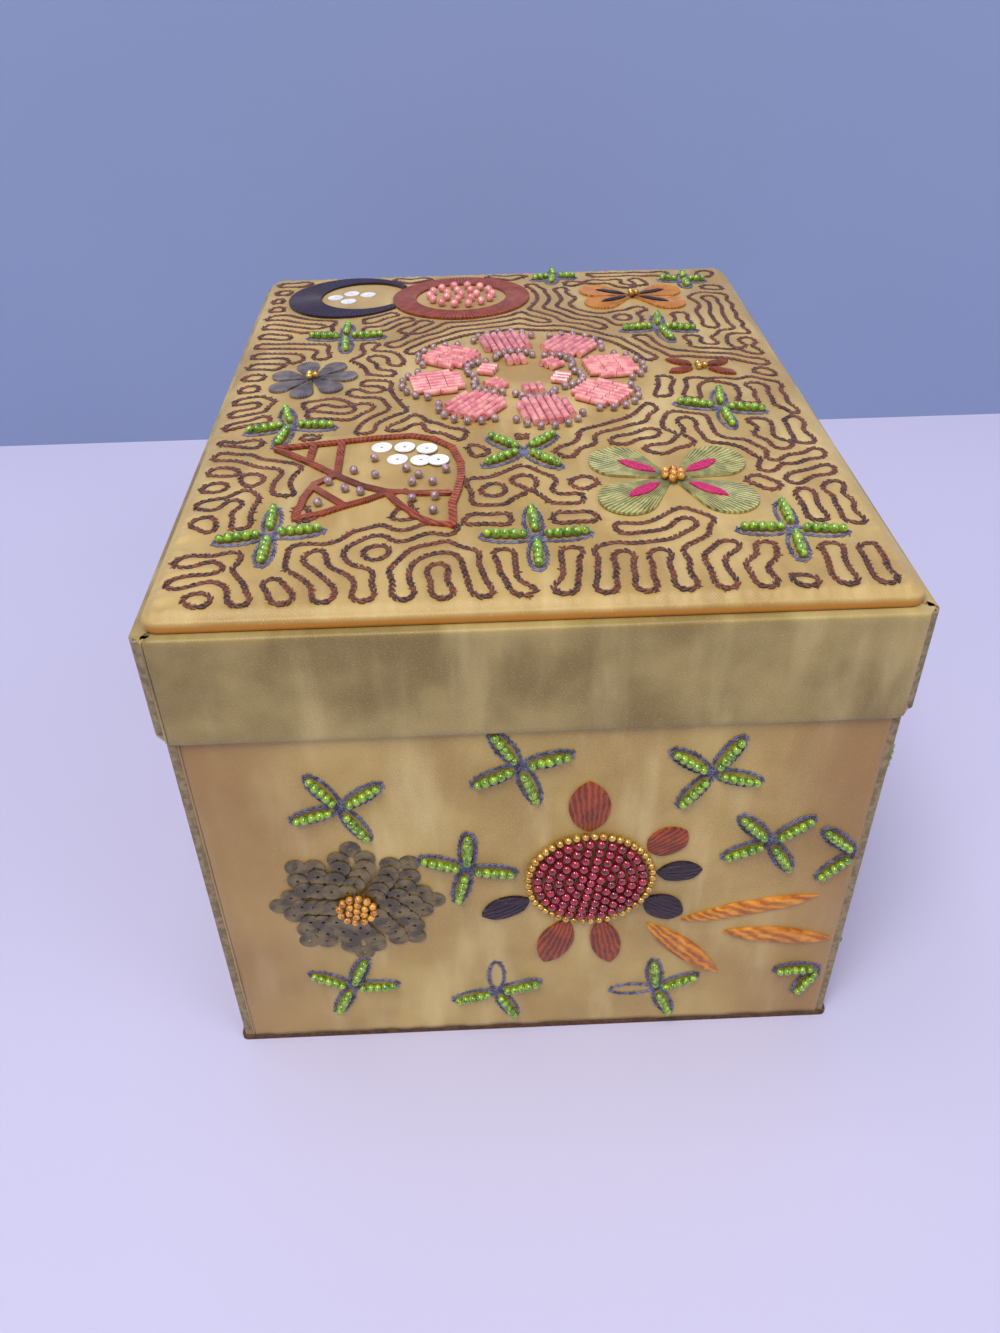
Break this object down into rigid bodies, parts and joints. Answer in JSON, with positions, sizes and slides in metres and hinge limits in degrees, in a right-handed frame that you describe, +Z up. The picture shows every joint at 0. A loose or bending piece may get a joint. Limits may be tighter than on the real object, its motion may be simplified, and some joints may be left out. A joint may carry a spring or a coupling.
{
  "type": "keepsake box",
  "caption": "Deep rectangular keepsake box of satin-covered card with a lift-off lid, a wadded embroidered top panel, and bead and sequin flowers on the lid and front.",
  "frame": {"origin": "middle of the underside, where the box stands on a table", "axes": "+Z up, +X to the right seen from the embroidered front, +Y from the front to the back, along the longer side"},
  "size_m": [0.1607, 0.2121, 0.1417],
  "materials": {
    "board": "plain grey-brown bookbinding board",
    "foot_card": "dark paper-covered card",
    "satin": "old-gold satin with a fine twill",
    "embroidered_satin": "gold satin covered in brown chain stitch",
    "lining": "plain gold satin over card",
    "wadding": "soft white wadding",
    "green_beads": "yellow-green glass seed beads on indigo thread",
    "red_beads": "dark ruby glass beads",
    "amber_beads": "amber glass beads",
    "pink_beads": "pink glass beads",
    "mauve_beads": "grey-mauve glass beads",
    "gold_beads": "gold-coloured metal beads",
    "olive_sequins": "thin olive sequins",
    "white_sequins": "pearly white sequins",
    "rust_thread": "rust embroidery thread",
    "aubergine_thread": "aubergine embroidery thread",
    "ochre_thread": "ochre embroidery thread",
    "grey_thread": "grey metallic embroidery thread",
    "metallic_thread": "green and gold metallic thread",
    "magenta_thread": "magenta embroidery thread"
  },
  "bodies": {
    "base": {"foot_card": "foot_card", "floor_board": "board", "front_wall": "board", "back_wall": "board", "left_wall": "board", "right_wall": "board", "base_cover": "satin", "front_lining": "lining", "back_lining": "lining", "left_lining": "lining", "right_lining": "lining", "floor_lining": "lining", "front_bead_sprigs": "green_beads", "corner_bead_sprigs": "green_beads", "sequin_flower": "olive_sequins", "amber_bead_middle": "amber_beads", "red_bead_cluster": "red_beads", "gold_bead_edging": "gold_beads", "rust_petals": "rust_thread", "aubergine_petals": "aubergine_thread", "ochre_leaves": "ochre_thread"},
    "lid": {"lid_board": "board", "front_rim_card": "board", "back_rim_card": "board", "left_rim_card": "board", "right_rim_card": "board", "rim_cover": "satin", "rim_lining": "lining", "lid_lining": "lining", "panel_card": "board", "panel_wadding": "wadding", "panel_cover": "embroidered_satin", "lid_bead_sprigs": "green_beads", "pink_flower_petals": "pink_beads", "pink_flower_edging": "mauve_beads", "crescent": "aubergine_thread", "crescent_sequins": "white_sequins", "ring_flower": "rust_thread", "ring_flower_beads": "pink_beads", "ochre_flower": "ochre_thread", "ochre_flower_strokes": "aubergine_thread", "ruffled_flower": "grey_thread", "small_rust_flower": "rust_thread", "flower_middle_beads": "gold_beads", "fruit_outline": "rust_thread", "fruit_beads": "mauve_beads", "white_sequins": "white_sequins", "butterfly_petals": "metallic_thread", "butterfly_strokes": "magenta_thread", "butterfly_beads": "amber_beads"}
  },
  "joints": [
    {"name": "lid_lift", "type": "slide", "parent": "base", "child": "lid", "axis": [0, 0, 1], "range_m": [0, 0.06]}
  ]
}
